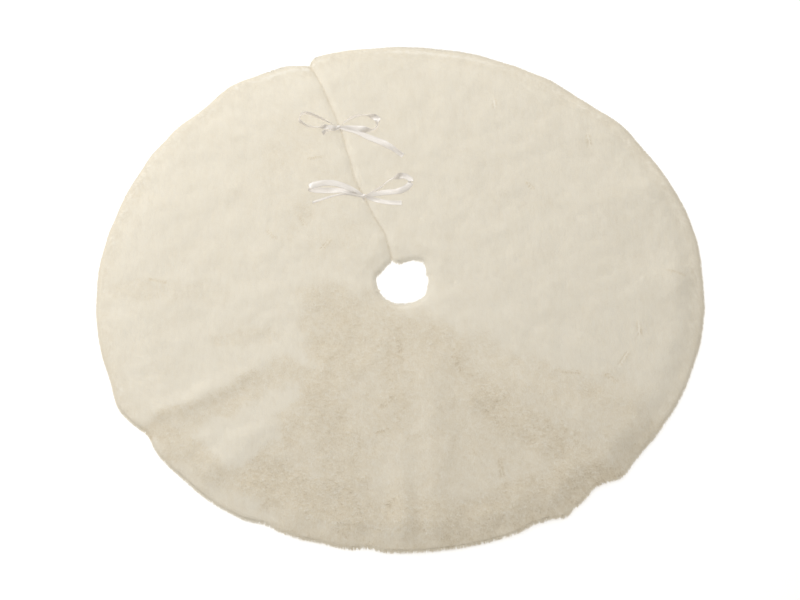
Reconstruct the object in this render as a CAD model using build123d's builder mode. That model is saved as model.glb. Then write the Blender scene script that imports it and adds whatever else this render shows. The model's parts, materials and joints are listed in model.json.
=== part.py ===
from build123d import *
import math
import os

os.makedirs("parts", exist_ok=True)

# Faux-fur tree skirt: a lined plush disc with a trunk hole, a slit from the hole to the rim, and two
# pairs of ribbon ties that close the slit with bows. The frame's origin is the centre of the hole on
# the floor, +Z is up, and the slit runs along +Y. All sizes are in millimetres.

# Cloth
RIM_R = 450  # finished radius of the disc
HOLE_R = 40  # finished radius of the trunk hole
PILE_TOP = 12  # top of the pile over the floor
TOP_ROLL_R = 4  # how the pile rounds over a finished edge
BOTTOM_ROLL_R = 3
SLIT_GAP = 2  # between the two edges of the slit
RIM_CORNER_R = 12  # plan corners of the slit, at the rim and at the hole
HOLE_CORNER_R = 8
HEM = 9  # how far the fur turns under before its seam with the lining
POCKET_Z = 1.1  # the lining lies in a shallow pocket inside the hem
LINING_Z = 0.3
SEAM_Z = 0.45
SEAM_HEIGHT = 0.5
SEAM_CLEAR = 0.1  # hem to thread, and thread to lining
SEAM_W = 0.5
FOLD_ANGLE = 45  # each flap's fold line, measured from the slit, in degrees
FOLD_GAP = 0.3

# Ties
OUTER_TIE_Y = 296
INNER_TIE_Y = 160
RIBBON_W = 10
RIBBON_T = 0.6
TIE_NOTCH_X = 3.4  # depth of the seam opening that a ribbon comes out of
TIE_NOTCH_Y = 12
LEAD_X = 1.2  # inner face of the ribbon where it runs up the slit edge
LEAD_FOOT = 1.2
BOW_Z = 13.2  # underside of the bow, just over the pile
KNOT_GAP = 0.6  # between the two halves of a knot
KNOT_REACH = 7
KNOT_HEIGHT = 7
STITCHES = 5  # in each bar tack
STITCH_PITCH = 1.8
STITCH_W = 0.8
STITCH_HEIGHT = 2.4

# Care label, sewn in with the lining at the rim
LABEL_L = 40
LABEL_W = 25
LABEL_T = 0.25
LABEL_CORNER_R = 1
LABEL_ANGLE = 300

# Ribbon routes in plan, out from the knot and back again for a loop, and out to the cut end for a tail
OUTER_LEFT_LOOP = [(-5, 299), (-18, 322), (-40, 343), (-54, 330), (-38, 308), (-5, 294)]
OUTER_LEFT_TAIL = [(-5, 293), (-14, 291), (-25, 296)]
OUTER_RIGHT_LOOP = [(5, 299), (25, 308), (48, 306), (66, 288), (52, 267), (27, 279), (5, 295)]
OUTER_RIGHT_TAIL = [(5, 293), (21, 273), (41, 259), (60, 241), (71, 224), (77, 204)]
INNER_LEFT_LOOP = [
    (-5, 163), (-22, 192), (-48, 210), (-78, 206), (-78, 186), (-50, 176), (-25, 175), (-5, 158),
]
INNER_LEFT_TAIL = [(-5, 157), (-22, 163), (-46, 167), (-66, 166), (-84, 171)]
INNER_RIGHT_LOOP = [
    (5, 162), (26, 164), (46, 178), (70, 178), (76, 158), (52, 146), (27, 150), (5, 158),
]
INNER_RIGHT_TAIL = [(5, 157), (20, 140), (38, 132), (56, 128)]

BEYOND = 2 * RIM_R  # well outside the disc
SLIT_X = SLIT_GAP / 2


def save(piece, name):
    """Labels a finished piece and writes its STEP file."""
    piece.part.label = name
    export_step(piece.part, f"parts/{name}.step")


def sheet_outline(inset):
    """The disc's plan, with its hole and its slit, drawn in from every finished edge by inset."""
    with BuildSketch() as outline:
        Circle(RIM_R - inset)
        Circle(HOLE_R + inset, mode=Mode.SUBTRACT)
        with Locations((0, BEYOND / 2)):
            Rectangle(2 * (SLIT_X + inset), BEYOND, mode=Mode.SUBTRACT)
    return outline


def fold_region(left_edge, right_edge, far_edge, shift):
    """The plan region over the two fold lines' V (far_edge > 0) or under it, moved along Y by shift."""
    reach_x = BEYOND * math.sin(math.radians(FOLD_ANGLE))
    reach_y = BEYOND * math.cos(math.radians(FOLD_ANGLE)) + shift
    corners = [(0, shift)]
    if right_edge:
        corners += [(reach_x, reach_y), (reach_x, far_edge)]
    else:
        corners += [(0, far_edge)]
    if left_edge:
        corners += [(-reach_x, far_edge), (-reach_x, reach_y)]
    else:
        corners += [(0, far_edge)]
    with BuildSketch() as region:
        with BuildLine():
            Polyline(*dict.fromkeys(corners), close=True)
        make_face()
    return region


def over(region, sheet):
    """The stretch of a whole sheet that lies over a plan region."""
    with BuildPart() as piece:
        add(sheet.part)
        extrude(region.sketch, amount=PILE_TOP, mode=Mode.INTERSECT)
    return piece


fold_shift = FOLD_GAP / 2 / math.sin(math.radians(FOLD_ANGLE))
main_region = fold_region(True, True, -BEYOND, -fold_shift)
flap_regions = {
    "left": fold_region(True, False, BEYOND, fold_shift),
    "right": fold_region(False, True, BEYOND, fold_shift),
}


# ---- Fur: one sheet in the cloth, cut here where it folds -------------------------------------------
with BuildPart() as fur_sheet:
    extrude(sheet_outline(0).sketch, amount=PILE_TOP)
    slit_corners = edges().filter_by(Axis.Z).filter_by_position(Axis.X, -SLIT_GAP, SLIT_GAP)
    slit_corners = slit_corners.sort_by(Axis.Y)
    fillet(slit_corners[-2:], radius=RIM_CORNER_R)
    fillet(slit_corners[:2], radius=HOLE_CORNER_R)
    fillet(faces().sort_by(Axis.Z)[-1].edges(), radius=TOP_ROLL_R)
    fillet(faces().sort_by(Axis.Z)[0].edges(), radius=BOTTOM_ROLL_R)
    extrude(sheet_outline(HEM).sketch, amount=POCKET_Z, mode=Mode.SUBTRACT)
    with Locations((0, OUTER_TIE_Y, PILE_TOP / 2), (0, INNER_TIE_Y, PILE_TOP / 2)):
        Box(2 * TIE_NOTCH_X, TIE_NOTCH_Y, PILE_TOP, mode=Mode.SUBTRACT)

# ---- Lining, in the pocket inside the hem -----------------------------------------------------------
lining_inset = HEM + SEAM_W + 2 * SEAM_CLEAR
with BuildPart() as lining_sheet:
    with BuildSketch(Plane.XY.offset(LINING_Z)):
        add(sheet_outline(lining_inset).sketch)
    extrude(amount=POCKET_Z - LINING_Z)

# ---- Seam thread, between the hem and the lining ----------------------------------------------------
with BuildPart() as seam_sheet:
    with BuildSketch(Plane.XY.offset(SEAM_Z)):
        add(sheet_outline(HEM + SEAM_CLEAR).sketch)
        add(sheet_outline(HEM + SEAM_CLEAR + SEAM_W).sketch, mode=Mode.SUBTRACT)
    extrude(amount=SEAM_HEIGHT)

fur_panel = over(main_region, fur_sheet)
save(fur_panel, "fur_panel")
lining = over(main_region, lining_sheet)
save(lining, "lining")
main_seams = over(main_region, seam_sheet).part.solids().sort_by(SortBy.VOLUME)
for name, strand in zip(("hole_seam", "rim_seam"), main_seams):
    with BuildPart() as seam:
        add(strand)
    save(seam, name)

for side, region in flap_regions.items():
    save(over(region, fur_sheet), f"{side}_flap_fur")
    save(over(region, lining_sheet), f"{side}_flap_lining")
    save(over(region, seam_sheet), f"{side}_flap_seam")

# ---- Care label -------------------------------------------------------------------------------------
with BuildPart() as care_label:
    with BuildSketch():
        with PolarLocations(RIM_R - lining_inset - LABEL_L / 2, 1, start_angle=LABEL_ANGLE):
            RectangleRounded(LABEL_L, LABEL_W, LABEL_CORNER_R)
    extrude(amount=LABEL_T)
save(care_label, "care_label")


# ---- Ties -------------------------------------------------------------------------------------------
def corner_radii(points):
    """For each corner of a route, the largest arc that 0.45 of its shorter run allows."""
    runs = [Vector(*b) - Vector(*a) for a, b in zip(points, points[1:])]
    radii = []
    for before, after in zip(runs, runs[1:]):
        turn = before.get_angle(after)
        radii.append(0.45 * min(before.length, after.length) / math.tan(math.radians(turn / 2)))
    return radii


def ribbon(side, knot_y, routes):
    """One ribbon: up the slit edge, into its half of the knot, round its loop and out along its tail."""
    lead_top = BOW_Z + KNOT_HEIGHT / 2
    knot_mid = (KNOT_GAP / 2 + KNOT_REACH) / 2
    with BuildPart() as tie:
        with Locations((side * (LEAD_X + RIBBON_T / 2), knot_y, (LEAD_FOOT + lead_top) / 2)):
            Box(RIBBON_T, RIBBON_W, lead_top - LEAD_FOOT)
        with Locations((side * knot_mid, knot_y, BOW_Z + KNOT_HEIGHT / 2)):
            Box(KNOT_REACH - KNOT_GAP / 2, RIBBON_W, KNOT_HEIGHT)
        for route in routes:
            with BuildSketch(Plane.XY.offset(BOW_Z)):
                with BuildLine():
                    FilletPolyline(*route, radius=corner_radii(route))
                trace(line_width=RIBBON_T)
            extrude(amount=RIBBON_W)
    return tie


def bar_tack(side, knot_y):
    """The dense row of stitches that holds a ribbon's end in the seam of the slit edge."""
    stitch_x = TIE_NOTCH_X - LEAD_X - RIBBON_T
    with BuildPart() as tack:
        with Locations((side * (TIE_NOTCH_X - stitch_x / 2), knot_y, LEAD_FOOT + STITCH_HEIGHT / 2)):
            with GridLocations(0, STITCH_PITCH, 1, STITCHES):
                Box(stitch_x, STITCH_W, STITCH_HEIGHT)
    return tack


TIES = {
    "outer_tie_left": (-1, OUTER_TIE_Y, [OUTER_LEFT_LOOP, OUTER_LEFT_TAIL]),
    "outer_tie_right": (1, OUTER_TIE_Y, [OUTER_RIGHT_LOOP, OUTER_RIGHT_TAIL]),
    "inner_tie_left": (-1, INNER_TIE_Y, [INNER_LEFT_LOOP, INNER_LEFT_TAIL]),
    "inner_tie_right": (1, INNER_TIE_Y, [INNER_RIGHT_LOOP, INNER_RIGHT_TAIL]),
}
for name, (side, knot_y, routes) in TIES.items():
    tie = ribbon(side, knot_y, routes)
    save(tie, f"{name}_ribbon")
    save(bar_tack(side, knot_y), f"{name}_tack")
    for route in routes:
        print(name, "radii", [round(r, 1) for r in corner_radii(route)])
    print(name, "volume / section", round(tie.part.volume / (RIBBON_T * RIBBON_W)), "mm")
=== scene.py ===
"""A cream plush tree skirt with a slit and two satin bows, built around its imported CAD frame."""
import json
import math

import bpy
import numpy as np
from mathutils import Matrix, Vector


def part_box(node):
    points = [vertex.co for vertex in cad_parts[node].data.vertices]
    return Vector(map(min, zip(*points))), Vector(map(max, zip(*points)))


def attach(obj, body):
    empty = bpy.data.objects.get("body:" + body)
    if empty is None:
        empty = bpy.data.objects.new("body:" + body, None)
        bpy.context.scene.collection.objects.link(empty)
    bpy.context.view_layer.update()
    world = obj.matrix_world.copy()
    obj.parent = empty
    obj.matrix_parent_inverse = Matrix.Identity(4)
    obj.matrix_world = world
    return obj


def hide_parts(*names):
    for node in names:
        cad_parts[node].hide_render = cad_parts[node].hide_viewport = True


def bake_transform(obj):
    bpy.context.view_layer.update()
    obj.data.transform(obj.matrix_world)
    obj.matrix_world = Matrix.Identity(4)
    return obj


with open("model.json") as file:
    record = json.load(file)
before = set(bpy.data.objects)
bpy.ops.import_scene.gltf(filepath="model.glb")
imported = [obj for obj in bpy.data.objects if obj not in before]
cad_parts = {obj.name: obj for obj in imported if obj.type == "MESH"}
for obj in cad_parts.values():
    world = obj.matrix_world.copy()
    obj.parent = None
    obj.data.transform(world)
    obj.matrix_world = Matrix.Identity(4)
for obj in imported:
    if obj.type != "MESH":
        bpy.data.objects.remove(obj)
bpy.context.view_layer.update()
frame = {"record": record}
MM = 0.001

# ---- Places and sizes from the frame, in metres ----
RIM_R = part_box("fur_panel")[1][0]
HOLE_R = next(m["dims"]["r_mm"] for m in frame["record"]["mounts"] if m["name"] == "trunk_hole") * MM
SIDES = {"left": -1, "right": 1}

# ---- Cloth ----
PILE_OVER_RIM = 4.5 * MM  # how far the pile stands out past the cloth at an edge
CLOTH_T = 8 * MM  # cloth and packed pile, under the loose tips
ROLL = 8 * MM  # how far in the rim's and the hole's rolled edge reaches
ROLL_MID = 0.38  # height of the rolled edge's nose, as a share of CLOTH_T
SLIT_ROLL, SLIT_MID = 2.6 * MM, 0.74  # the slit's edges are pressed together and hardly rolled
SLIT_DIP, SLIT_DIP_REACH = 1.5 * MM, 7 * MM  # how much lower the pile lies beside the slit
RIM_CROWN, RIM_CROWN_REACH = 2.3 * MM, 40 * MM  # how much lower the pile lies near the rim
# The rim is flatter by this much on the side at this angle, and as much rounder opposite
FLATTER_RIM, FLATTER_RIM_ANGLE = 1.5 * MM, 115
HOLE_CROWN, HOLE_CROWN_REACH = 1.5 * MM, 26 * MM
HEM = 9 * MM  # how far the fur is turned under at every edge
LINING_ROOM = 1.2 * MM  # how much higher the fur's underside is inside the hem
SLIT_HALF = 0.3 * MM
SLIT_WANDER_REACH = 120 * MM  # how far from the slit the cloth follows its wandering line
RIM_CORNER_R, HOLE_CORNER_R = 13 * MM, 9 * MM  # corners between the slit and the rim or the hole
EDGE_STEPS = np.array([0, 0.3, 0.8, 1.6, 2.7, 4.2, 6.2, 8.8, 9.3]) * MM  # rows of points from an edge
GRID_STEP = 3.9 * MM
# The rim isn't centred on the hole: it stands out further on this side
RIM_SHIFT, RIM_SHIFT_ANGLE = 7 * MM, 200
# Where the rim and the hole's edge stand out or in: angle from +X and half-width in degrees, and reach
RIM_BUMPS = [
    (188, 4.5, 8.5 * MM), (195.5, 2.6, -7 * MM), (215, 9, 3 * MM), (240, 14, -3 * MM),
    (224.5, 2.2, -4 * MM), (239, 3, 2 * MM), (244, 1.8, -4 * MM), (274.3, 1.6, -3.2 * MM),
    (280, 1.8, 6 * MM), (288.2, 2.8, -8 * MM), (293.5, 2.6, 6 * MM), (105, 4.5, 6 * MM),
    (115, 4, -4 * MM), (142, 14, -4 * MM), (175, 3, 2.5 * MM), (21, 3.5, 4 * MM), (30.5, 5.5, -3 * MM),
    (338, 22, 2 * MM), (355, 8, 1.5 * MM), (84, 4, 2 * MM), (91, 2.4, -9 * MM),
]
HOLE_BUMPS = [
    (32, 18, 8 * MM), (72, 16, -4 * MM), (120, 14, -3 * MM), (165, 14, -2 * MM), (245, 34, 1.5 * MM),
    (335, 16, -2.5 * MM),
]
# The slit's line wanders from +Y: distance from the centre, and offset in +X
SLIT_LINE = [
    (40 * MM, -2 * MM), (65 * MM, 1 * MM), (90 * MM, 4 * MM), (130 * MM, -1 * MM), (200 * MM, -5 * MM),
    (245 * MM, 0), (300 * MM, 6 * MM), (380 * MM, 6 * MM), (450 * MM, 1 * MM),
]
# Soft ridges where the cloth stands off the floor: inner end, outer end, height and half-width
RIDGES = [
    ((-0.150, -0.058), (-0.450, -0.104), 2.7 * MM, 19 * MM),
    ((-0.190, -0.122), (-0.365, -0.215), 2.4 * MM, 24 * MM),
    ((-0.085, -0.215), (-0.155, -0.440), 3.2 * MM, 15 * MM),
    ((0.050, -0.130), (0.215, -0.400), 5 * MM, 32 * MM),
    ((0.020, -0.060), (-0.060, -0.300), 2 * MM, 24 * MM),
    ((0.240, -0.100), (0.440, -0.150), 3 * MM, 34 * MM),
    ((0.300, 0.040), (0.450, 0.030), 2 * MM, 20 * MM),
    ((-0.200, 0.200), (-0.360, 0.290), 1.5 * MM, 40 * MM),
]
RIM_SAG, RIM_SAG_REACH = 0.8, 50 * MM  # the share of a ridge's height that is lost towards the rim
# Where the pile is ruffled, and painted with shade: ends of each patch, half-width, and how much
RUFFLED = [
    ((-0.120, 0.000), (-0.125, -0.095), 40 * MM, 0.65),
    ((-0.072, -0.040), (-0.040, -0.105), 46 * MM, 0.42),
    ((-0.040, -0.085), (-0.086, -0.228), 17 * MM, 0.45),
    ((0.014, -0.110), (0.046, -0.240), 20 * MM, 0.35),
    ((0.046, -0.240), (0.130, -0.390), 28 * MM, 0.75),
    ((-0.178, -0.125), (-0.186, -0.290), 30 * MM, 0.65),
    ((-0.305, -0.240), (-0.215, -0.335), 32 * MM, 0.85),
    ((-0.215, -0.335), (-0.060, -0.410), 30 * MM, 0.65),
    ((-0.060, -0.410), (0.150, -0.410), 30 * MM, 0.75),
    ((-0.412, -0.118), (-0.200, -0.088), 22 * MM, 0.60),
    ((-0.400, -0.150), (-0.345, -0.235), 24 * MM, 0.60),
    ((-0.330, -0.236), (-0.225, -0.180), 12 * MM, 0.45),
    ((-0.400, 0.130), (-0.270, 0.080), 20 * MM, 0.22),
    ((-0.290, -0.008), (-0.216, -0.026), 16 * MM, 0.30),
    ((0.205, -0.262), (0.248, -0.305), 28 * MM, 0.30),
    ((-0.060, 0.300), (-0.085, 0.110), 60 * MM, 0.15),
    ((-0.092, 0.176), (-0.098, 0.160), 13 * MM, 0.35),
]
# A ruffled front is also painted darker, as shade among its clumps
FRONT_RUFFLE = 0.5  # how ruffled the whole front is
# Short partings where the pile falls open and is painted with shade: two ends
PARTINGS = [
    ((-0.104, -0.196), (-0.080, -0.184)), ((-0.128, -0.232), (-0.108, -0.232)),
    ((-0.150, -0.352), (-0.131, -0.340)), ((-0.041, -0.092), (-0.048, -0.124)),
    ((0.160, -0.226), (0.184, -0.237)), ((0.300, -0.185), (0.293, -0.205)),
    ((0.024, -0.334), (0.018, -0.360)), ((-0.060, 0.262), (-0.040, 0.258)),
    ((0.359, 0.157), (0.356, 0.140)), ((0.248, 0.270), (0.244, 0.256)),
    ((0.240, 0.105), (0.243, 0.092)), ((0.265, -0.229), (0.246, -0.244)),
    ((0.220, -0.253), (0.229, -0.270)), ((0.376, -0.116), (0.396, -0.132)),
    ((-0.159, 0.156), (-0.153, 0.138)), ((-0.104, 0.167), (-0.103, 0.147)),
    ((-0.350, 0.133), (-0.330, 0.118)), ((0.025, -0.151), (0.022, -0.176)),
    ((0.128, -0.305), (0.128, -0.322)), ((-0.077, 0.107), (-0.093, 0.097)),
]


def smooth(t):
    """Smoothstep of t, clipped to 0..1."""
    t = np.clip(t, 0, 1)
    return t * t * (3 - 2 * t)


def noise(x, y, size, seed):
    """Smooth random values from -1 to 1 over the plan, with features of about the given size. Each
    pattern has a seed of its own, so that no two look alike."""
    table = np.random.default_rng(seed).uniform(-1, 1, (256, 256))
    u, v = x / size + 100.3, y / size + 57.7
    i, j = np.floor(u).astype(int), np.floor(v).astype(int)
    a, b = smooth(u - i), smooth(v - j)
    near = table[i % 256, j % 256] * (1 - a) + table[(i + 1) % 256, j % 256] * a
    far = table[i % 256, (j + 1) % 256] * (1 - a) + table[(i + 1) % 256, (j + 1) % 256] * a
    return near * (1 - b) + far * b


def bumps(angle, places):
    """Soft bumps round a circle: for each, its angle and half-width in degrees and its height."""
    total = np.zeros_like(angle)
    for centre, width, reach in places:
        off = (np.degrees(angle) - centre + 180) % 360 - 180
        total += reach * np.exp(-((off / width) ** 2))
    return total


def rim_radius(angle):
    """The cloth's outer radius at an angle, with the rim's soft waves."""
    shift = RIM_SHIFT * np.cos(angle - math.radians(RIM_SHIFT_ANGLE))
    wave = 1.2 * MM * noise(np.cos(angle) * 0.45, np.sin(angle) * 0.45, 0.03, 5)
    return RIM_R - PILE_OVER_RIM + shift + bumps(angle, RIM_BUMPS) + wave


def hole_radius(angle):
    """The cloth's inner radius at an angle."""
    wave = 0.8 * MM * noise(np.cos(angle), np.sin(angle), 0.4, 6)
    return HOLE_R + PILE_OVER_RIM * 0.5 + bumps(angle, HOLE_BUMPS) + wave


def slit_offset(y):
    """How far the slit's line lies in +X at a distance from the centre."""
    places, offsets = np.array(SLIT_LINE).T
    index = np.clip(np.searchsorted(places, y) - 1, 0, len(places) - 2)
    share = smooth((y - places[index]) / (places[index + 1] - places[index]))
    return offsets[index] * (1 - share) + offsets[index + 1] * share


def lift(x, y):
    """How high the cloth's underside stands off the floor."""
    height = 0.7 * MM * (1 + noise(x, y, 0.09, 11)) + 0.3 * MM * (1 + noise(x, y, 0.03, 12))
    to_rim = rim_radius(np.arctan2(y, x)) - np.hypot(x, y)
    sag = 1 - RIM_SAG * (1 - smooth(to_rim / RIM_SAG_REACH))
    for inner, outer, tall, width in RIDGES:
        inner, outer = np.array(inner), np.array(outer)
        along = outer - inner
        t = ((x - inner[0]) * along[0] + (y - inner[1]) * along[1]) / (along @ along)
        across = ((x - inner[0]) * along[1] - (y - inner[1]) * along[0]) / np.linalg.norm(along)
        height += tall * smooth(t * 1.3) * np.exp(-((across / width) ** 2)) * sag
    return height


def stroke(x, y, start, end):
    """Distance in plan from a straight stroke between two points."""
    start, end = np.array(start), np.array(end)
    line = end - start
    t = np.clip(((x - start[0]) * line[0] + (y - start[1]) * line[1]) / (line @ line), 0, 1)
    return np.hypot(x - start[0] - t * line[0], y - start[1] - t * line[1])


def plan_grid(side, inset, steps, grid_step):
    """Plan points of one half of the disc, from the slit round to -Y, in rows from the hole to the rim.
    Returns x, y, each point's distance from the rim or the hole, and from the slit. A row's radius and
    its angles depend on each other, so each row is worked out three times over."""
    inner_r = HOLE_R + PILE_OVER_RIM * 0.5 + inset
    outer_r = RIM_R - PILE_OVER_RIM - inset
    middle = np.linspace(0, 1, int((outer_r - inner_r) / grid_step))[1:-1]
    rows = [("in", s) for s in steps] + [("mid", m) for m in middle] + [("out", s) for s in steps[::-1]]
    first = SLIT_HALF + inset
    arc = np.linspace(0, 1, int(math.pi * outer_r / grid_step))[1:]
    near = first + np.concatenate([steps, np.full(len(arc), steps[-1])])
    share = np.concatenate([np.zeros(len(steps)), arc])
    grid = []
    for kind, value in rows:
        r = {"in": inner_r + value, "out": outer_r - value}.get(kind)
        if r is None:
            r = inner_r + steps[-1] + value * (outer_r - inner_r - 2 * steps[-1])
        for _ in range(3):
            turn = near / r * (1 - share) + math.pi * share
            angle = math.pi / 2 - side * turn
            from_slit = turn * r - first
            rim = rim_radius(angle) - inset - corner_cut(from_slit, RIM_CORNER_R)
            hole = hole_radius(angle) + inset + corner_cut(from_slit, HOLE_CORNER_R)
            r = {"in": hole + value, "out": rim - value}.get(kind)
            if r is None:
                r = hole + steps[-1] + value * (rim - hole - 2 * steps[-1])
        x, y = r * np.cos(angle), r * np.sin(angle)
        x = x + slit_offset(y) * (1 - smooth(from_slit / SLIT_WANDER_REACH)) * (y > 0)
        grid.append((x, y, np.minimum(rim - r, r - hole), from_slit))
    return tuple(np.array(part) for part in zip(*grid))


def corner_cut(from_slit, radius):
    """How much a rounded plan corner takes off the rim or the hole's edge near the slit."""
    reach = np.clip(radius - from_slit, 0, radius)
    return radius - np.sqrt(radius**2 - reach**2)


def mesh_object(name, points, quads, triangles=None):
    """A mesh object from arrays of points, quads and triangles."""
    triangles = np.zeros((0, 3), int) if triangles is None else triangles
    mesh = bpy.data.meshes.new(name)
    mesh.vertices.add(len(points))
    mesh.vertices.foreach_set("co", np.asarray(points, np.float32).ravel())
    mesh.loops.add(quads.size + triangles.size)
    corners = np.concatenate([quads.ravel(), triangles.ravel()]).astype(np.int32)
    mesh.loops.foreach_set("vertex_index", corners)
    mesh.polygons.add(len(quads) + len(triangles))
    starts = [np.arange(len(quads)) * 4, quads.size + np.arange(len(triangles)) * 3]
    mesh.polygons.foreach_set("loop_start", np.concatenate(starts).astype(np.int32))
    mesh.polygons.foreach_set("use_smooth", np.ones(len(quads) + len(triangles), bool))
    mesh.update(calc_edges=True)
    mesh.validate()
    thing = bpy.data.objects.new(name, mesh)
    bpy.context.scene.collection.objects.link(thing)
    return thing


def add_value(thing, name, values):
    """Stores one number per vertex for the materials to read."""
    attribute = thing.data.attributes.new(name, "FLOAT", "POINT")
    attribute.data.foreach_set("value", np.asarray(values, np.float32).ravel())


def closed_sheet(name, side, x, y, top, bottom):
    """A closed mesh with a top and a bottom that meet along the rim, the hole and the slit."""
    rows, columns = x.shape
    upper = np.arange(rows * columns).reshape(rows, columns)
    lower = upper + rows * columns
    lower[0, :], lower[-1, :], lower[:, 0] = upper[0, :], upper[-1, :], upper[:, 0]
    points = np.concatenate([
        np.stack([x, y, top], -1).reshape(-1, 3), np.stack([x, y, bottom], -1).reshape(-1, 3),
    ])

    def grid_faces(index, flip):
        faces = np.stack([index[:-1, :-1], index[1:, :-1], index[1:, 1:], index[:-1, 1:]], -1).reshape(-1, 4)
        return faces[:, ::-1] if flip else faces

    wall = np.stack([upper[:-1, -1], upper[1:, -1], lower[1:, -1], lower[:-1, -1]], -1)
    quads = np.concatenate([
        grid_faces(upper, side > 0), grid_faces(lower, side < 0), wall if side > 0 else wall[:, ::-1],
    ])
    used = np.unique(quads)
    renumber = np.zeros(len(points), int)
    renumber[used] = np.arange(len(used))
    thing = mesh_object(name, points[used], renumber[quads])
    shading = np.arange(len(quads)) < len(quads) - len(wall)
    thing.data.polygons.foreach_set("use_smooth", shading)
    return thing


def rolled(distance, reach):
    """The quarter-round profile of an edge, from 0 at the edge to 1."""
    return np.sqrt(1 - (1 - np.clip(distance / reach, 0, 1)) ** 2)


def edge_share(distance, reach, middle):
    """The share of the full height near an edge, from the height of its nose to 1."""
    return middle + (1 - middle) * rolled(distance, reach)


def cloth_top(x, y, edge, slit):
    """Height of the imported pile's surface."""
    packed = CLOTH_T * edge_share(edge, ROLL, ROLL_MID) * edge_share(slit, SLIT_ROLL, SLIT_MID)
    at_hole = np.hypot(x, y) < RIM_R / 2
    round_rim = RIM_CROWN - FLATTER_RIM * np.cos(np.arctan2(y, x) - math.radians(FLATTER_RIM_ANGLE))
    crown = np.where(at_hole, HOLE_CROWN, round_rim)
    crown_reach = np.where(at_hole, HOLE_CROWN_REACH, RIM_CROWN_REACH)
    packed -= crown * (1 - smooth(edge / crown_reach)) * rolled(edge, ROLL)
    packed -= SLIT_DIP * np.exp(-((slit / SLIT_DIP_REACH) ** 2)) * rolled(edge, ROLL)
    ripple = 0.35 * MM * noise(x, y, 0.016, 21) + 0.5 * MM * noise(x, y, 0.034, 22)
    return lift(x, y) + packed + ripple * rolled(edge, ROLL)


def cloth_bottom(x, y, edge, slit):
    """Height of the cloth's underside: the rolled edge, the hem on the floor, and room for the lining."""
    rim = ROLL_MID * (1 - rolled(edge, ROLL)) * edge_share(slit, SLIT_ROLL, SLIT_MID)
    cut = SLIT_MID * (1 - rolled(slit, SLIT_ROLL)) * edge_share(edge, ROLL, ROLL_MID)
    room = LINING_ROOM * (np.minimum(edge, slit) > HEM)
    return lift(x, y) + CLOTH_T * np.maximum(rim, cut) + room


# ---- Materials ----
def new_material(name, roughness, sheen=0.0, tint=(1, 1, 1)):
    """A material with a Principled shader, and its node tree."""
    material = bpy.data.materials.new(name)
    material.use_nodes = True
    shader = material.node_tree.nodes["Principled BSDF"]
    shader.inputs["Roughness"].default_value = roughness
    shader.inputs["Sheen Weight"].default_value = sheen
    shader.inputs["Sheen Roughness"].default_value = 0.5
    shader.inputs["Sheen Tint"].default_value = (*tint, 1)
    return material, material.node_tree, shader


def ramp(tree, factor, stops):
    """A colour ramp over a factor socket."""
    node = tree.nodes.new("ShaderNodeValToRGB")
    elements = node.color_ramp.elements
    for index, (place, colour) in enumerate(stops):
        element = elements[index] if index < 2 else elements.new(place)
        element.position = place
        element.color = (*colour, 1)
    tree.links.new(factor, node.inputs["Fac"])
    return node.outputs["Color"]


def attribute(tree, name):
    """The numbers that add_value stored on a piece, as a socket."""
    node = tree.nodes.new("ShaderNodeAttribute")
    node.attribute_name = name
    return node.outputs["Fac"]


def texture(tree, kind, scale, **settings):
    """A texture over the piece's own coordinates, in metres."""
    place = tree.nodes.new("ShaderNodeTexCoord")
    node = tree.nodes.new(kind)
    tree.links.new(place.outputs["Object"], node.inputs["Vector"])
    node.inputs["Scale"].default_value = scale
    for key, value in settings.items():
        node.inputs[key].default_value = value
    return node


def bump(tree, shader, height, distance, strength=1.0):
    """Fine relief from a height socket."""
    node = tree.nodes.new("ShaderNodeBump")
    node.inputs["Distance"].default_value = distance
    node.inputs["Strength"].default_value = strength
    tree.links.new(height, node.inputs["Height"])
    tree.links.new(node.outputs["Normal"], shader.inputs["Normal"])


# Cream fur, from painted shade deep at the roots and in ruffled pile to the lit tips of smooth pile
FUR_DEEP_SHADE = (0.465, 0.395, 0.288)
FUR_WARM_SHADE = (0.617, 0.554, 0.436)
FUR_CREAM = (0.688, 0.648, 0.562)
FUR_LIGHT = (0.735, 0.712, 0.652)


def fur_material(name, grain):
    """Cream plush: its colour comes from the pile's tone and painted shade, darker with painted shade deep
    at the roots and light where it lies smooth.
    """
    material, tree, shader = new_material(name, 0.95, 0.12, (1.0, 0.97, 0.9))
    fine = texture(tree, "ShaderNodeTexNoise", grain, Detail=3.0)
    mix = tree.nodes.new("ShaderNodeMath")
    mix.operation = "MULTIPLY_ADD"
    mix.inputs[1].default_value = 0.06
    tree.links.new(fine.outputs["Fac"], mix.inputs[0])
    # The stored tone carries painted shade as well as the pile's own tone
    tree.links.new(attribute(tree, "tone_and_shade"), mix.inputs[2])
    stops = [(0.1, FUR_DEEP_SHADE), (0.42, FUR_WARM_SHADE), (0.68, FUR_CREAM), (0.95, FUR_LIGHT)]
    tree.links.new(ramp(tree, mix.outputs[0], stops), shader.inputs["Base Color"])
    return material


def let_light_through(material, share):
    """Makes a material pass on some of the light that falls on its other side, as thin fibres do."""
    tree = material.node_tree
    shader = tree.nodes["Principled BSDF"]
    behind = tree.nodes.new("ShaderNodeBsdfTranslucent")
    tree.links.new(shader.inputs["Base Color"].links[0].from_socket, behind.inputs["Color"])
    mix = tree.nodes.new("ShaderNodeMixShader")
    mix.inputs["Fac"].default_value = share
    tree.links.new(shader.outputs[0], mix.inputs[1])
    tree.links.new(behind.outputs[0], mix.inputs[2])
    tree.links.new(mix.outputs[0], tree.nodes["Material Output"].inputs["Surface"])


fur_base = fur_material("fur_base", 900)
fur_pile = fur_material("fur_pile", 320)
let_light_through(fur_pile, 0.2)


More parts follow.
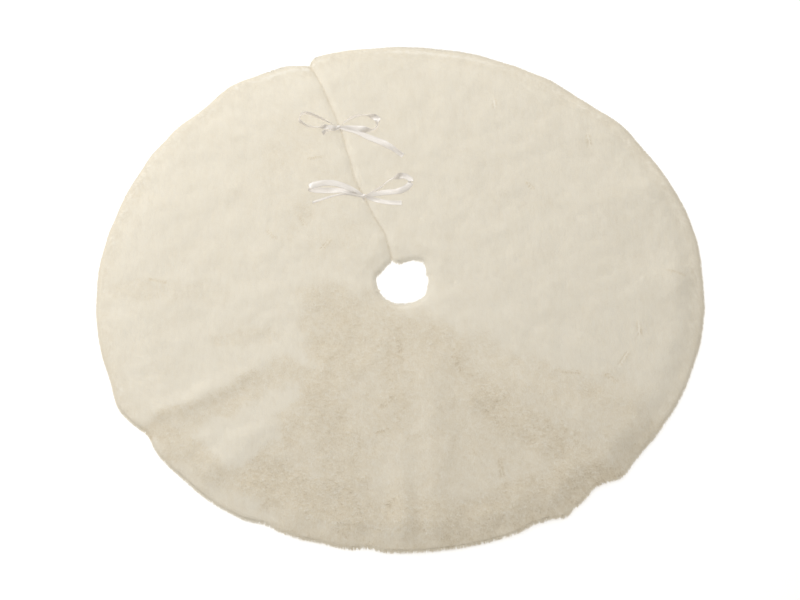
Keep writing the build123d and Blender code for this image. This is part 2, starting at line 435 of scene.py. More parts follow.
# ---- Fur cloth and its pile ----
def ruffled(x, y):
    """How ruffled the pile is, from 0 where it lies smooth to 1."""
    u = x + 11 * MM * noise(x, y, 0.030, 33) + 5 * MM * noise(x, y, 0.011, 34)
    v = y + 11 * MM * noise(x, y, 0.030, 35) + 5 * MM * noise(x, y, 0.011, 36)
    front = smooth((-v - 0.030 - 1.05 * np.clip(u, 0, 1)) / 0.05)
    front *= smooth((u + 0.150 - 0.33 * v) / 0.02 + 3 * smooth((-v - 0.12) / 0.03))
    calm = 1 - FRONT_RUFFLE * front
    for start, end, width, amount in RUFFLED:
        calm *= 1 - amount * smooth((1.35 - stroke(u, v, start, end) / width) / 0.7)
    patchy = 0.08 * noise(x, y, 0.045, 31) + 0.08 * noise(x, y, 0.016, 32)
    return np.clip(1 - calm + patchy, 0, 1)


def nap(x, y):
    """The direction that the pile leans in, in plan, as an angle."""
    return math.radians(-110) + 0.45 * noise(x, y, 0.13, 41) + 0.4 * noise(x, y, 0.04, 42)


def unit(vectors):
    """The vectors at length 1."""
    return vectors / np.maximum(np.linalg.norm(vectors, axis=-1, keepdims=True), 1e-9)


def read_array(collection, key, size, kind=np.float32):
    """One property of every item of a mesh collection, as an array."""
    values = np.zeros(len(collection) * size, kind)
    collection.foreach_get(key, values)
    return values.reshape(-1, size) if size > 1 else values


BARE, UNLIT = -0.7, -0.75  # cloth that faces further down carries no pile, or keeps its own normals


def pile_surface(cloth):
    """The cloth's points and quads, each quad's distance from the centre and its weight of pile, and
    smooth normals for the pile. Steep quads at the edges get more pile for their size."""
    points = read_array(cloth.data.vertices, "co", 3)
    quads = read_array(cloth.data.loops, "vertex_index", 1, np.int32).reshape(-1, 4)
    face = np.cross(points[quads[:, 2]] - points[quads[:, 0]], points[quads[:, 3]] - points[quads[:, 1]]) / 2
    centre = points[quads].mean(1)
    outer = ~inner_wall(centre, unit(face)[:, 2])
    normals = np.zeros_like(points)
    for corner in range(4):
        np.add.at(normals, quads[outer, corner], face[outer])
    normals = unit(normals)
    up = normals[quads].mean(1)[:, 2]
    denser = 1 + 1.5 * (up < 0.9) + 3 * (up < 0.55)
    weight = np.linalg.norm(face, axis=1) * outer * (up > BARE) * denser
    return points, quads, np.hypot(centre[:, 0], centre[:, 1]), weight, normals


def surface_samples(surface, count, rng, low, high):
    """Random points on the cloth's top and edges between two radii, with the smooth normals there."""
    points, quads, radius, weight, normals = surface
    weight = weight * (radius >= low) * (radius < high)
    chosen = rng.choice(len(quads), count, p=weight / weight.sum())
    a, b = rng.random((2, count, 1))
    corner = quads[chosen]
    shares = [(1 - a) * (1 - b), a * (1 - b), a * b, (1 - a) * b]
    place = sum(share * points[corner[:, k]] for k, share in enumerate(shares))
    normal = sum(share * normals[corner[:, k]] for k, share in enumerate(shares))
    return place, unit(normal)


def inner_wall(centre, up):
    """The cut faces where the two halves meet along -Y, and the slit's pressed faces."""
    at_cut = (np.abs(centre[:, 0]) < 0.5 * MM) & (centre[:, 1] < 0)
    off_slit = np.abs(centre[:, 0] - slit_offset(centre[:, 1]))
    at_slit = (off_slit < SLIT_HALF + 1.2 * MM) & (centre[:, 1] > 0) & (centre[:, 2] < SLIT_MID * CLOTH_T)
    return (at_cut & (np.abs(up) < 0.3)) | (at_slit & (np.abs(up) < 0.75))


SCATTER = 5.0


def scatter(normal):
    """Pile lets light through, so an edge is shaded as if it faced further up than it does."""
    return (1 - np.clip(normal[:, 2:], 0, 1)) * [0.0, 0.0, SCATTER]


BLADE_W, BLADE_L = 0.8 * MM, 8.5 * MM
CLUMP = 5.5 * MM  # blades in a cell of this size lean together
EDGE_LEAN = 16 * MM  # within this distance of an edge the pile turns outwards
SLIT_LEAN_REACH = 5 * MM  # within about this distance it turns towards the slit
PARTING_REACH, PARTING_HALF = 4 * MM, 1.5 * MM  # where the pile is pushed aside, and where it is open
TILT, RUFFLED_TILT, EDGE_TILT = 65, 25, 9  # degrees from upright; less where ruffled, more at an edge
DROOP = 0.35  # how steeply a blade may point down, as a share of its length
LOWEST = 0.4 * MM
# Tone: smooth pile, then the painted shade where it is ruffled, open, near the slit, in it and near the rim
SMOOTH_TONE, RUFFLED_SHADE, PARTING_SHADE, NEAR_SLIT_SHADE = 0.66, 0.17, 0.26, 0.07
# Painted shade: a dark line along the slit's crease, and how far it reaches
SLIT_LINE_SHADE, SLIT_LINE_SHADE_REACH = 0.18, 2.2 * MM
# Painted shade towards the rim, and how far in it reaches
RIM_SHADE, RIM_SHADE_REACH = 0.10, 30 * MM
# How deep each corner of a blade lies in the pile, for its painted shade: two at its foot, two at its
# middle, and its tip
BLADE_DEPTHS = np.array([1.0, 1.0, 0.0, 0.0, -0.2])


def part_pile(x, y, lean):
    """Pushes the pile aside at the partings, and returns how open it is at each point."""
    opened = np.zeros(len(x))
    for start, end in PARTINGS:
        line = unit(np.array(end) - np.array(start))
        across = (x - start[0]) * line[1] - (y - start[1]) * line[0]
        gap = stroke(x, y, start, end)
        push = np.sign(across) * np.exp(-((gap / PARTING_REACH) ** 2))
        lean[:, :2] += 0.7 * push[:, None] * [line[1], -line[0]]
        opened = np.maximum(opened, np.exp(-((gap / PARTING_HALF) ** 2)))
    return opened


def clump_pull(root):
    """The way in plan from each root to the middle of its clump."""
    cell = np.floor(root[:, :2] / CLUMP)
    jitter = np.random.default_rng(7).uniform(0.15, 0.85, (512, 512, 2))
    heart = (cell + jitter[cell[:, 0].astype(int) % 512, cell[:, 1].astype(int) % 512]) * CLUMP
    return heart - root[:, :2]


def blade_tone_and_shade(x, y, rough, opened, off_slit, near_slit, to_rim, rng):
    """The tone of each corner of each blade, from 0 deep in the pile to 1: the pile's own tone with painted
    shade at the roots, where ruffled or open, along the slit and near the rim.
    """
    speckle = noise(x, y, 0.0028, 51)[:, None] * (0.012 + 0.16 * rough)
    with_nap, over_nap = -0.342 * x - 0.94 * y, 0.94 * x - 0.342 * y
    fibres = 0.035 * noise(with_nap / 7, over_nap, 0.0022, 52)[:, None]
    own = rng.normal(0, 1, (len(x), 1)) * (0.015 + 0.08 * rough)
    # Painted shade over ruffled pile
    level = SMOOTH_TONE - RUFFLED_SHADE * rough + speckle + fibres + own
    # Painted shade where the pile falls open at a parting, and beside the slit
    level = level - PARTING_SHADE * opened[:, None] - NEAR_SLIT_SHADE * near_slit[:, None]
    # Painted shade along the slit's crease
    level -= SLIT_LINE_SHADE * np.exp(-((off_slit / SLIT_LINE_SHADE_REACH) ** 2))[:, None]
    # Painted shade, darker towards the rim
    level -= RIM_SHADE * (1 - smooth(to_rim / RIM_SHADE_REACH))[:, None]
    # Painted shade: each blade darker towards its foot, more so in ruffled pile
    return level - (0.04 + 0.16 * rough) * BLADE_DEPTHS


def pile(name, surface, side, count, low, high, seed):
    """Tufts of plush on one zone of the cloth, each a tapered blade that leans with the nap."""
    rng = np.random.default_rng(seed)
    root, normal = surface_samples(surface, count, rng, low, high)
    x, y = root[:, 0], root[:, 1]
    rough = ruffled(x, y)[:, None]
    radius = np.hypot(x, y)
    to_rim = rim_radius(np.arctan2(y, x)) - radius
    inland = smooth(to_rim / EDGE_LEAN)
    loose = 0.25 + 0.75 * inland
    heading = nap(x, y) + rng.normal(0, 1, count) * (0.15 + 0.55 * rough[:, 0]) * loose
    lean = np.stack([np.cos(heading), np.sin(heading), np.zeros(count)], 1)
    outward = root * [1, 1, 0] / radius[:, None]
    lean = lean + outward * 2.2 * (1 - inland)[:, None]
    lean = lean - outward * 1.6 * (1 - smooth((radius - HOLE_R) / EDGE_LEAN))[:, None]
    off_slit = side * (x - slit_offset(y)) + 1 * (y < 0)
    near_slit = np.exp(-((off_slit / SLIT_LEAN_REACH) ** 2))
    lean[:, 0] -= side * 0.9 * near_slit
    opened = part_pile(x, y, lean)
    lean = unit(lean - normal * (lean * normal).sum(1, keepdims=True))
    gather = np.zeros((count, 3))
    gather[:, :2] = clump_pull(root) * (0.05 + 0.30 * rough) * loose[:, None]
    at_rim = 1 - inland[:, None]
    length = BLADE_L * (0.9 - 0.15 * at_rim + (0.3 - 0.2 * at_rim) * (rng.random((count, 1)) - 0.5))
    at_edge = 1 - np.clip(normal[:, 2:], 0, 1)
    tilt = TILT - RUFFLED_TILT * rough * (1 - at_edge) + EDGE_TILT * at_edge
    tilt = np.radians(tilt + rng.normal(0, 5, (count, 1)))
    first = unit(normal * np.cos(tilt) + lean * np.sin(tilt))
    first[:, 2] = np.maximum(first[:, 2], -DROOP)
    second = unit(first + lean * 0.8 - normal * 0.12 + rng.normal(0, 0.10, (count, 3)))
    second[:, 2] = np.maximum(second[:, 2], -DROOP)
    first, second = unit(first), unit(second)
    base = root - normal * 0.6 * MM
    middle = base + first * length * 0.5 + gather * 0.4
    tip = middle + second * length * 0.5 + gather * 0.6
    raised = unit(normal + scatter(normal))
    across = unit(np.cross(first, raised) + rng.normal(0, 0.08, (count, 3)))
    width = BLADE_W * (0.75 + 0.5 * rng.random((count, 1)))
    points = np.stack([
        base - across * width / 2, base + across * width / 2,
        middle + across * width * 0.45, middle - across * width * 0.45, tip,
    ], 1).reshape(-1, 3)
    points[:, 2] = np.maximum(points[:, 2], LOWEST)
    index = np.arange(count)[:, None] * 5
    thing = mesh_object(name, points, index + [0, 1, 2, 3], index + [3, 2, 4])
    facing = unit(np.cross(across, second))
    own_share = 0.06 + 0.30 * rough
    shade = unit(raised * (1 - own_share) + facing * own_share)
    thing.data.normals_split_custom_set_from_vertices(np.repeat(shade, 5, axis=0))
    add_value(thing, "tone_and_shade", blade_tone_and_shade(x, y, rough, opened, off_slit, near_slit, to_rim, rng))
    thing.data.materials.append(fur_pile)
    thing.visible_shadow = False
    return thing


BLADES = 62000  # in each zone of each half
# The zones' inner and outer radii in metres: about the same area each
PILE_ZONES = {"inner": (0.0, 0.228), "middle": (0.228, 0.318), "outer": (0.318, 0.387), "rim": (0.387, 1.0)}


def lay(thing, nodes):
    """Puts a piece of cloth on the frame and hides the CAD nodes that it stands for."""
    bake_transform(thing)
    if nodes:
        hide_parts(*nodes)


def fur_half(side_name):
    """One half of the fur: its closed sheet of cloth and the pile on it."""
    side = SIDES[side_name]
    x, y, edge, slit = plan_grid(side, 0, EDGE_STEPS, GRID_STEP)
    top, bottom = cloth_top(x, y, edge, slit), cloth_bottom(x, y, edge, slit)
    cloth = closed_sheet(f"{side_name}_fur", side, x, y, top, bottom)
    surface = pile_surface(cloth)
    points, normals = surface[0], surface[-1]
    # The cloth under the pile is painted darker where the pile is ruffled, as shade
    add_value(cloth, "tone_and_shade", 0.62 - 0.2 * ruffled(points[:, 0], points[:, 1]))
    shade = unit(normals + scatter(normals) * (normals[:, 2:] > UNLIT))
    cloth.data.normals_split_custom_set_from_vertices(shade)
    cloth.data.materials.append(fur_base)
    cloth.visible_shadow = False
    tufts = []
    for number, (zone, (low, high)) in enumerate(PILE_ZONES.items()):
        seed = 100 + number + 10 * (side > 0)
        tufts.append(pile(f"{side_name}_pile_{zone}", surface, side, BLADES, low, high, seed))
    lay(cloth, ["fur_panel", f"{side_name}_flap_fur"])
    for tuft in tufts:
        lay(tuft, [])


# ---- Lining, edge seam and care label ----
LINING_INSET = HEM + 0.7 * MM
LINING_T = 0.35 * MM
SEAM_INSET = HEM + 0.4 * MM
STITCH_PITCH = 3.0 * MM
STITCH_L = 2.4 * MM
THREAD_R = 0.28 * MM


def cloth_material(name, light, dark, weave, roughness, sheen):
    """Plain-weave cloth: two crossed wave patterns for the threads, and slow changes of tone."""
    material, tree, shader = new_material(name, roughness, sheen)
    threads = []
    for direction in ("X", "Y"):
        wave = texture(tree, "ShaderNodeTexWave", weave)
        wave.bands_direction = direction
        threads.append(wave.outputs["Fac"])
    crossed = tree.nodes.new("ShaderNodeMath")
    crossed.operation = "MULTIPLY"
    tree.links.new(threads[0], crossed.inputs[0])
    tree.links.new(threads[1], crossed.inputs[1])
    bump(tree, shader, crossed.outputs[0], 0.08 * MM, 0.6)
    slow = texture(tree, "ShaderNodeTexNoise", 35, Detail=4.0)
    tree.links.new(ramp(tree, slow.outputs["Fac"], [(0.3, dark), (0.7, light)]), shader.inputs["Base Color"])
    return material


lining_material = cloth_material("lining", (0.67, 0.63, 0.54), (0.60, 0.56, 0.475), 700, 0.75, 0.2)
label_material = cloth_material("label", (0.84, 0.84, 0.82), (0.77, 0.77, 0.75), 900, 0.5, 0.1)
thread_material = cloth_material("thread", (0.80, 0.77, 0.68), (0.68, 0.63, 0.53), 1500, 0.6, 0.3)


def lining_half(side_name):
    """The thin plain cloth under the fur, slightly slack, inside the turned-under hem."""
    side = SIDES[side_name]
    steps = np.array([0, 0.5, 1.5, 3.5]) * MM
    x, y, rim, slit = plan_grid(side, LINING_INSET, steps, 6 * MM)
    edge = np.minimum(rim, slit)
    slack = 0.35 * MM * (1 + 0.6 * noise(x, y, 0.035, 71) + 0.4 * noise(x, y, 0.014, 72))
    slack *= smooth(edge / (6 * MM))
    top = lift(x, y) + LINING_ROOM - 0.15 * MM - slack
    cloth = closed_sheet(f"{side_name}_lining", side, x, y, top, top - LINING_T * (edge > 0))
    cloth.data.materials.append(lining_material)
    lay(cloth, ["lining", f"{side_name}_flap_lining"])


def seam_line(side):
    """Plan points along one half's edge seam: the rim from -Y to the slit, the slit, and the hole."""
    x, y, _, _ = plan_grid(side, SEAM_INSET, np.array([0, 2]) * MM, 4 * MM)
    plan = np.stack([x, y], -1)
    return np.concatenate([plan[-1, ::-1], plan[-2:0:-1, 0], plan[0]])


def lengths_along(points):
    """Each point's distance from the first one, along the line."""
    return np.concatenate([[0], np.cumsum(np.linalg.norm(np.diff(points, axis=0), axis=1))])


def along(points, spacing):
    """Points at an even spacing along a polyline, and the unit directions there."""
    reach = lengths_along(points)
    places = np.arange(spacing / 2, reach[-1], spacing)
    here, ahead = (
        np.stack([np.interp(where, reach, column) for column in points.T], 1)
        for where in (places, places + spacing / 4)
    )
    return here, unit(ahead - here)


def stitches(name, centres, directions, length, radius):
    """A group of short thread stitches, each a rounded spindle."""
    sides = 6
    turn = np.arange(sides) * 2 * math.pi / sides
    stations = [(-0.5, 0.0), (-0.38, 0.8), (0.0, 1.0), (0.38, 0.8), (0.5, 0.0)]
    up = np.tile([0.0, 0.0, 1.0], (len(centres), 1))
    up[np.abs(directions[:, 2]) > 0.8] = [1.0, 0.0, 0.0]
    across = unit(np.cross(up, directions))
    third = np.cross(directions, across)
    rings = []
    for place, share in stations:
        spoke = across[:, None] * np.cos(turn)[:, None] + third[:, None] * np.sin(turn)[:, None]
        middle = centres[:, None] + directions[:, None] * place * length
        rings.append(middle + spoke * radius * max(share, 0.25))
    points = np.stack(rings, 1).reshape(-1, 3)
    base = np.arange(len(centres))[:, None, None, None] * sides * len(stations)
    ring = np.arange(len(stations) - 1)[:, None, None] * sides
    corner = np.arange(sides)[:, None]
    after = (corner + 1) % sides
    quads = base + ring + np.concatenate([corner, after, after + sides, corner + sides], 1)
    caps = base[:, 0, 0] + np.array([[0, 5, 4, 3], [0, 3, 2, 1]])[None].reshape(1, -1)
    far = base[:, 0, 0] + (len(stations) - 1) * sides + np.array([[0, 1, 2, 3], [0, 3, 4, 5]]).reshape(1, -1)
    quads = np.concatenate([quads.reshape(-1, 4), caps.reshape(-1, 4), far.reshape(-1, 4)])
    thing = mesh_object(name, points, quads)
    thing.data.materials.append(thread_material)
    return thing


def seam_half(side_name):
    """The thread of the seam between hem and lining, as the stitches that show in the seam's ditch."""
    side = SIDES[side_name]
    plan, heading = along(seam_line(side), STITCH_PITCH)
    height = lift(plan[:, 0], plan[:, 1]) + 0.55 * MM
    centres = np.column_stack([plan, height])
    directions = np.column_stack([heading, np.zeros(len(heading))])
    seam = stitches(f"{side_name}_edge_seam", centres, directions, STITCH_L, THREAD_R)
    lay(seam, ["rim_seam", "hole_seam", f"{side_name}_flap_seam"])


def care_label():
    """The blank woven label under the rim, sewn in with the lining at its outer end."""
    low, high = (np.array(c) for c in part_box("care_label"))
    centre = (low + high)[:2] / 2
    out = centre / np.linalg.norm(centre)
    across = np.array([-out[1], out[0]])
    length, width, rows, columns = 40 * MM, 25 * MM, 17, 11
    u, v = np.meshgrid(np.linspace(-0.5, 0.5, rows), np.linspace(-0.5, 0.5, columns), indexing="ij")
    plan = centre + out * u[..., None] * length + across * v[..., None] * width
    x, y = plan[..., 0], plan[..., 1]
    height = lift(x, y) + 0.12 * MM + 0.06 * MM * np.cos(v * 9) * (0.5 - u)
    upper = np.arange(rows * columns).reshape(rows, columns)
    lower = upper + rows * columns
    top = np.stack([x, y, height + 0.1 * MM], -1).reshape(-1, 3)
    bottom = np.stack([x, y, height - 0.1 * MM], -1).reshape(-1, 3)

    def strip(a, b):
        return np.stack([a[:-1], a[1:], b[1:], b[:-1]], -1)

    faces = [
        np.stack([upper[:-1, :-1], upper[1:, :-1], upper[1:, 1:], upper[:-1, 1:]], -1).reshape(-1, 4),
        np.stack([lower[:-1, 1:], lower[1:, 1:], lower[1:, :-1], lower[:-1, :-1]], -1).reshape(-1, 4),
        strip(upper[:, 0], lower[:, 0])[:, ::-1], strip(upper[:, -1], lower[:, -1]),
        strip(upper[0], lower[0]), strip(upper[-1], lower[-1])[:, ::-1],
    ]
    label = mesh_object("care_label_tape", np.concatenate([top, bottom]), np.concatenate(faces))
    label.data.materials.append(label_material)
    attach(label, "skirt")
    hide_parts("care_label")


for side_name in SIDES:
    fur_half(side_name)
    lining_half(side_name)
    seam_half(side_name)
care_label()

# ---- Ties ----
RIBBON_W = 10 * MM
RIBBON_T = 0.35 * MM
KNOT_HALF, KNOT_DEPTH, KNOT_RISE = 3.2 * MM, 3.0 * MM, 2.1 * MM
# Ways for the ribbon's width to point
ON_EDGE = (0, 0, 1)
TOWARDS_FRONT = (-0.19, -0.53, 0.83)
NEARLY_ON_EDGE = (-0.08, -0.24, 0.97)
LEAN_BACK = (0.28, 0.78, 0.56)
ALONG_SLIT = (0, 1, 0)
FACE_UP = (0.46, 0.79, 0.08)
FACE_UP_RIGHT = (0.71, 0.58, 0.20)


def ribbon_material():
    """White satin: a glossy face with streaks along the ribbon, of its own tone and of painted sheen, and
    fine ribs across it.
    """
    material, tree, shader = new_material("satin", 0.27, 0.2, (1, 0.96, 0.95))
    shader.inputs["Anisotropic"].default_value = 0.7
    shader.inputs["Specular IOR Level"].default_value = 0.62
    place = tree.nodes.new("ShaderNodeCombineXYZ")
    tree.links.new(attribute(tree, "along"), place.inputs["X"])
    tree.links.new(attribute(tree, "across"), place.inputs["Y"])
    tone_and_sheen_streaks = tree.nodes.new("ShaderNodeTexNoise")
    tone_and_sheen_streaks.inputs["Scale"].default_value = 1.0
    tone_and_sheen_streaks.inputs["Detail"].default_value = 3.0
    tree.links.new(place.outputs[0], tone_and_sheen_streaks.inputs["Vector"])
    # Lighter and darker streaks: partly the satin's own tone, partly painted sheen
    stops = [(0.3, (0.725, 0.685, 0.635)), (0.7, (0.815, 0.785, 0.745))]
    tree.links.new(ramp(tree, tone_and_sheen_streaks.outputs["Fac"], stops), shader.inputs["Base Color"])
    ribs = tree.nodes.new("ShaderNodeTexWave")
    ribs.inputs["Scale"].default_value = 3.0
    tree.links.new(place.outputs[0], ribs.inputs["Vector"])
    bump(tree, shader, ribs.outputs["Fac"], 0.03 * MM, 0.5)
    return material


satin = ribbon_material()
let_light_through(satin, 0.3)


def route_line(name, points):
    """Points along the smooth NURBS line of a cord's route, closely spaced."""
    curve = bpy.data.curves.new(name, "CURVE")
    curve.dimensions = "3D"
    spline = curve.splines.new("NURBS")
    spline.points.add(len(points) - 1)
    for point, place in zip(spline.points, points):
        point.co = (*place, 1)
    spline.order_u = 3
    spline.use_endpoint_u = True
    spline.resolution_u = 16
    thing = bpy.data.objects.new(name, curve)
    bpy.context.scene.collection.objects.link(thing)
    line = bpy.data.meshes.new_from_object(thing)
    found = np.array([v.co for v in line.vertices])
    bpy.data.objects.remove(thing)
    bpy.data.meshes.remove(line)
    bpy.data.curves.remove(curve)
    return found


def tube_quads(index):
    """The quads of a tube, from the indices of its points in rings."""
    closed = np.concatenate([index, index[:, :1]], 1)
    corners = [closed[:-1, :-1], closed[:-1, 1:], closed[1:, 1:], closed[1:, :-1]]
    return np.stack(corners, -1).reshape(-1, 4)


def ribbon_strip(name, path, widths, facings, seed):
    """A flat ribbon along a path. widths and facings say, along the path, how wide it is and which way
    its width points."""
    count = len(path)
    share = np.linspace(0, 1, count) * (len(facings) - 2)
    knots = np.clip(np.arange(len(facings)) - 0.5, 0, len(facings) - 2)
    facing = np.stack([np.interp(share, knots, np.array(facings)[:, k]) for k in range(3)], 1)
    width = np.interp(share, knots, widths)[:, None, None]
    tangent = unit(np.gradient(path, axis=0))
    across = unit(facing - tangent * (facing * tangent).sum(1, keepdims=True))
    reach = lengths_along(path)
    roll = 0.22 * noise(reach, reach * 0, 0.017, seed)[:, None]
    across = across * np.cos(roll) + np.cross(tangent, across) * np.sin(roll)
    face = np.cross(tangent, across)
    places = np.array([-0.5, -0.42, -0.22, 0, 0.22, 0.42, 0.5])
    bow = (0.7 + 0.9 * noise(reach, reach * 0, 0.025, seed + 1))[:, None, None] * MM
    cup = bow * (places**2 * 4)[None, :, None] * (width / RIBBON_W)
    half = RIBBON_T / 2 * np.array([1.25, 1.0, 1.0, 1.0, 1.0, 1.0, 1.25])[None, :, None]
    middle = path[:, None] + across[:, None] * places[None, :, None] * width
    middle = middle + face[:, None] * cup
    ring = np.concatenate([middle + face[:, None] * half, (middle - face[:, None] * half)[:, ::-1]], 1)
    size = ring.shape[1]
    index = np.arange(count * size).reshape(count, size)
    ends = []
    for row, flip in ((index[0], True), (index[-1], False)):
        top, bottom = row[: size // 2], row[size // 2:][::-1]
        cap = np.stack([top[:-1], bottom[:-1], bottom[1:], top[1:]], -1)
        ends.append(cap[:, ::-1] if flip else cap)
    quads = np.concatenate([tube_quads(index), *ends])
    thing = mesh_object(name, ring.reshape(-1, 3), quads)
    spread = np.concatenate([places, places[::-1]])
    add_value(thing, "along", np.repeat(reach * 60, size))
    add_value(thing, "across", np.tile(spread * 9, count))
    thing.data.materials.append(satin)
    return thing


def half_knot(name, side, centre):
    """One side's half of a bow's knot: ribbon pulled tight round the strands, with creases round it."""
    around, stations = 28, 13
    turn = np.arange(around) * 2 * math.pi / around
    t = np.linspace(0, 1, stations)[:, None]
    swell = np.sqrt(np.clip(1 - (t * 0.9) ** 3, 0, 1))
    crease = 1 + 0.09 * np.cos(10 * t + 0.9 * np.sin(turn + side) + side) + 0.05 * np.cos(3 * turn + 2 * t)
    x = centre[0] + side * (0.03 * MM + t * KNOT_HALF) + 0.5 * MM * t * np.cos(turn)
    y = centre[1] + KNOT_DEPTH * swell * crease * np.cos(turn)
    z = centre[2] + KNOT_RISE * swell * crease * np.sin(turn)
    ends = np.array([[0.03 * MM, 0, 0], [KNOT_HALF + 0.3 * MM, 0, 0]]) * [side, 1, 1] + centre
    points = np.concatenate([np.stack([x, y, z], -1).reshape(-1, 3), ends])
    index = np.arange(around * stations).reshape(stations, around)
    skin = tube_quads(index)
    first, last = around * stations, around * stations + 1
    fans = np.concatenate([
        np.stack([np.roll(index[0], -1), index[0], np.full(around, first)], -1),
        np.stack([index[-1], np.roll(index[-1], -1), np.full(around, last)], -1),
    ])
    if side < 0:
        skin, fans = skin[:, ::-1], fans[:, ::-1]
    thing = mesh_object(name, points, skin, fans)
    add_value(thing, "along", points[:, 1] * 60)
    add_value(thing, "across", points[:, 0] * 900)
    thing.data.materials.append(satin)
    return thing


# Each tie: its side, the slit's place, its knot's centre, and its route from the seam of the slit, through
# the knot, round the loop, through the knot again and out to the cut end. In millimetres, with the way that
# the ribbon's width points and the share of its width that shows.
TIES = {
    "outer_tie_left": ("left", 296, (2.5, 296, 15.5), [
        ((4.6, 296, 3), ALONG_SLIT, 1), ((4.4, 296, 11), ALONG_SLIT, 1),
        ((0, 298, 15.5), TOWARDS_FRONT, 0.45), ((-17, 322, 15.5), NEARLY_ON_EDGE, 0.9),
        ((-38, 342, 16), NEARLY_ON_EDGE, 1), ((-52, 332, 16), ON_EDGE, 1),
        ((-43, 315, 15), NEARLY_ON_EDGE, 1), ((-27, 308, 15), TOWARDS_FRONT, 0.9),
        ((-12, 302, 15), FACE_UP, 0.7), ((0, 296, 15), LEAN_BACK, 0.45),
        ((0, 295, 14.5), LEAN_BACK, 0.45), ((-13, 296, 14), TOWARDS_FRONT, 0.7),
        ((-24, 296, 13), LEAN_BACK, 0.6),
    ]),
    "outer_tie_right": ("right", 296, (2.5, 296, 15.5), [
        ((7.2, 296, 3), ALONG_SLIT, 1), ((7, 296, 11), ALONG_SLIT, 1),
        ((5, 297, 15.5), TOWARDS_FRONT, 0.45), ((25, 306, 16.5), NEARLY_ON_EDGE, 0.9),
        ((48, 307, 16.5), TOWARDS_FRONT, 1), ((68, 289, 16), FACE_UP, 0.9),
        ((53, 268, 14.5), TOWARDS_FRONT, 1), ((30, 285, 15), FACE_UP_RIGHT, 1),
        ((5, 295, 15), LEAN_BACK, 0.45), ((5, 294, 14.5), FACE_UP_RIGHT, 0.45),
        ((24, 280, 14), FACE_UP_RIGHT, 0.6), ((41, 262, 13.5), FACE_UP_RIGHT, 0.95),
        ((57, 246, 13.5), FACE_UP_RIGHT, 1), ((67, 232, 14), LEAN_BACK, 0.8),
        ((77, 212, 14), LEAN_BACK, 0.7),
    ]),
    "inner_tie_left": ("left", 160, (-4.5, 160, 15.5), [
        ((-3.9, 160, 3), ALONG_SLIT, 1), ((-4, 160, 11), ALONG_SLIT, 1),
        ((-6, 162, 15.5), LEAN_BACK, 0.45), ((-22, 182, 18), FACE_UP, 0.9),
        ((-42, 197, 20.5), FACE_UP, 1), ((-62, 202, 20.5), FACE_UP, 1),
        ((-77, 203, 19.5), FACE_UP, 1), ((-78, 199, 15), FACE_UP, 1),
        ((-53, 189, 14), FACE_UP, 1), ((-28, 181, 14.5), FACE_UP, 0.9),
        ((-6, 161, 15), TOWARDS_FRONT, 0.45), ((-6, 160, 14), LEAN_BACK, 0.4),
        ((-25, 174, 13), LEAN_BACK, 0.3), ((-41, 178, 12.7), FACE_UP, 0.3),
        ((-60, 178, 12.7), FACE_UP, 0.35), ((-81, 177, 13), FACE_UP, 0.4),
    ]),
    "inner_tie_right": ("right", 160, (-4.5, 160, 15.5), [
        ((-1.5, 160, 3), ALONG_SLIT, 1), ((-1.6, 160, 11), ALONG_SLIT, 1),
        ((-2, 161, 15.5), TOWARDS_FRONT, 0.45), ((20, 164, 16.5), NEARLY_ON_EDGE, 0.9),
        ((43, 176, 17.5), TOWARDS_FRONT, 1), ((65, 176, 17), FACE_UP, 0.9),
        ((75, 160, 16), FACE_UP, 0.8), ((54, 149, 15), FACE_UP, 1),
        ((26, 157, 15), FACE_UP, 1), ((-2, 159, 15), LEAN_BACK, 0.45),
        ((-2, 158, 14), LEAN_BACK, 0.45), ((15, 144, 13.5), FACE_UP, 0.8),
        ((29, 135, 13.5), FACE_UP, 0.8), ((45, 130, 13), FACE_UP, 0.8),
    ]),
}
TACK_STITCHES, TACK_PITCH = 5, 1.8 * MM
TACK_INSET, TACK_HEIGHT = 2.4 * MM, 3 * MM
TACK_STITCH_L, TACK_THREAD_R = 2.6 * MM, 0.35 * MM


def bar_tack(name, side, slit_y):
    """The dense stitches that hold a ribbon's end in the slit's seam."""
    edge = slit_offset(np.array([slit_y]))[0] + side * TACK_INSET
    rows = slit_y + (np.arange(TACK_STITCHES) - TACK_STITCHES // 2) * TACK_PITCH
    centres = np.array([(edge, row, TACK_HEIGHT) for row in rows])
    directions = np.tile([side * 0.9, 0.2, -0.3], (TACK_STITCHES, 1))
    return stitches(name, centres, directions, TACK_STITCH_L, TACK_THREAD_R)


def tie(name, side_name, slit_y, knot, route, seed):
    """One ribbon with its half of the knot and the bar tack that holds it in the slit's seam."""
    side = SIDES[side_name]
    points = [tuple(c * MM for c in point) for point, _, _ in route]
    path = route_line(name, points)
    facings = [facing for _, facing, _ in route]
    widths = [share * RIBBON_W for _, _, share in route]
    ribbon = ribbon_strip(f"{name}_satin", path, widths, facings, seed)
    ribbon.visible_shadow = False
    knot_piece = half_knot(f"{name}_half_knot", side, np.array(knot) * MM)
    knot_piece.visible_shadow = False
    tack = bar_tack(f"{name}_bar_tack", side, slit_y * MM)
    for piece, slot, node in ((ribbon, "ribbon", "ribbon"), (tack, "thread", "tack")):
        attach(piece, f"{side_name}_flap")
        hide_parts(f"{name}_{node}")
    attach(knot_piece, f"{side_name}_flap")


for number, (name, (side_name, slit_y, knot, route)) in enumerate(TIES.items()):
    tie(name, side_name, slit_y, knot, route, 80 + 2 * number)

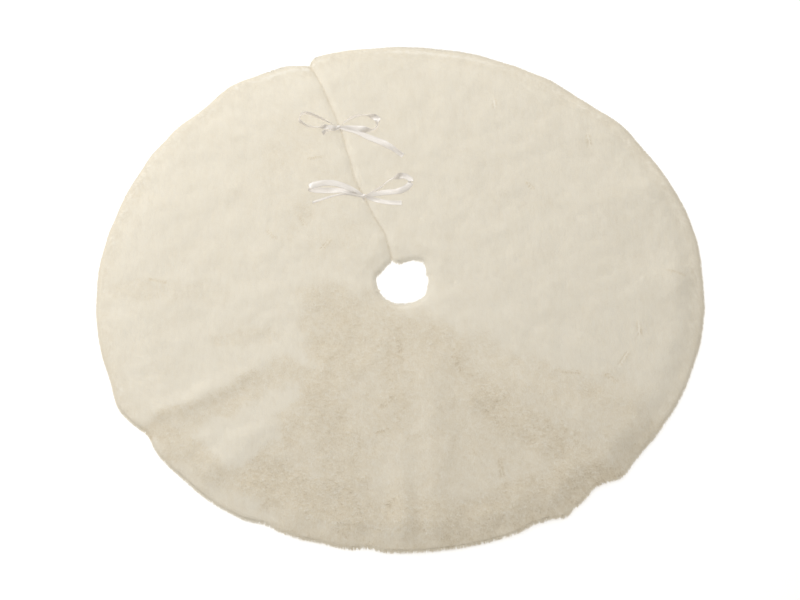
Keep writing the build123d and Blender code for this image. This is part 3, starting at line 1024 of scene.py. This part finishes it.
# ---- Camera, floor and light ----
VIEW_AZIMUTH, VIEW_ELEVATION = math.radians(-20), math.radians(56.1)
VIEW_DISTANCE = 8.8 * RIM_R
back = Vector((
    math.sin(VIEW_AZIMUTH) * math.cos(VIEW_ELEVATION),
    -math.cos(VIEW_AZIMUTH) * math.cos(VIEW_ELEVATION),
    math.sin(VIEW_ELEVATION),
))
camera = bpy.data.objects.new("camera", bpy.data.cameras.new("camera"))
bpy.context.scene.collection.objects.link(camera)
camera.location = back * VIEW_DISTANCE
camera.rotation_euler = back.to_track_quat("Z", "Y").to_euler()
camera.data.lens = 120.2
camera.data.sensor_width = 36
camera.data.shift_x = -0.00375
camera.data.shift_y = -0.0206
bpy.context.scene.camera = camera


KEY_TINT = (0.97, 0.995, 1.04)  # slightly cooler than the light from all round
WORLD_TINT = (1.03, 1.005, 0.955)


def area_light(name, place, size, power, target=(0, 0, 0)):
    """A soft square light that faces a target."""
    light = bpy.data.lights.new(name, "AREA")
    light.energy, light.size, light.color = power, size, KEY_TINT
    thing = bpy.data.objects.new(name, light)
    bpy.context.scene.collection.objects.link(thing)
    thing.location = place
    thing.rotation_euler = (Vector(place) - Vector(target)).to_track_quat("Z", "Y").to_euler()


area_light("key", (-1.05, 2.5, 2.2), 3.0, 134)
world = bpy.data.worlds.new("world")
bpy.context.scene.world = world
world.use_nodes = True
world.node_tree.nodes["Background"].inputs["Color"].default_value = (*WORLD_TINT, 1)
world.node_tree.nodes["Background"].inputs["Strength"].default_value = 0.65
bpy.context.scene.view_settings.view_transform = "Standard"

FLOOR_HALF = 8
floor_corners = [(x * FLOOR_HALF, y * FLOOR_HALF, 0) for x, y in ((-1, -1), (1, -1), (1, 1), (-1, 1))]
floor_mesh = bpy.data.meshes.new("floor")
floor_mesh.from_pydata(floor_corners, [], [(0, 1, 2, 3)])
floor = bpy.data.objects.new("floor", floor_mesh)
bpy.context.scene.collection.objects.link(floor)
floor_material, _, floor_shader = new_material("floor", 0.9)
floor_shader.inputs["Base Color"].default_value = (0.98, 0.98, 0.98, 1)
floor_mesh.materials.append(floor_material)
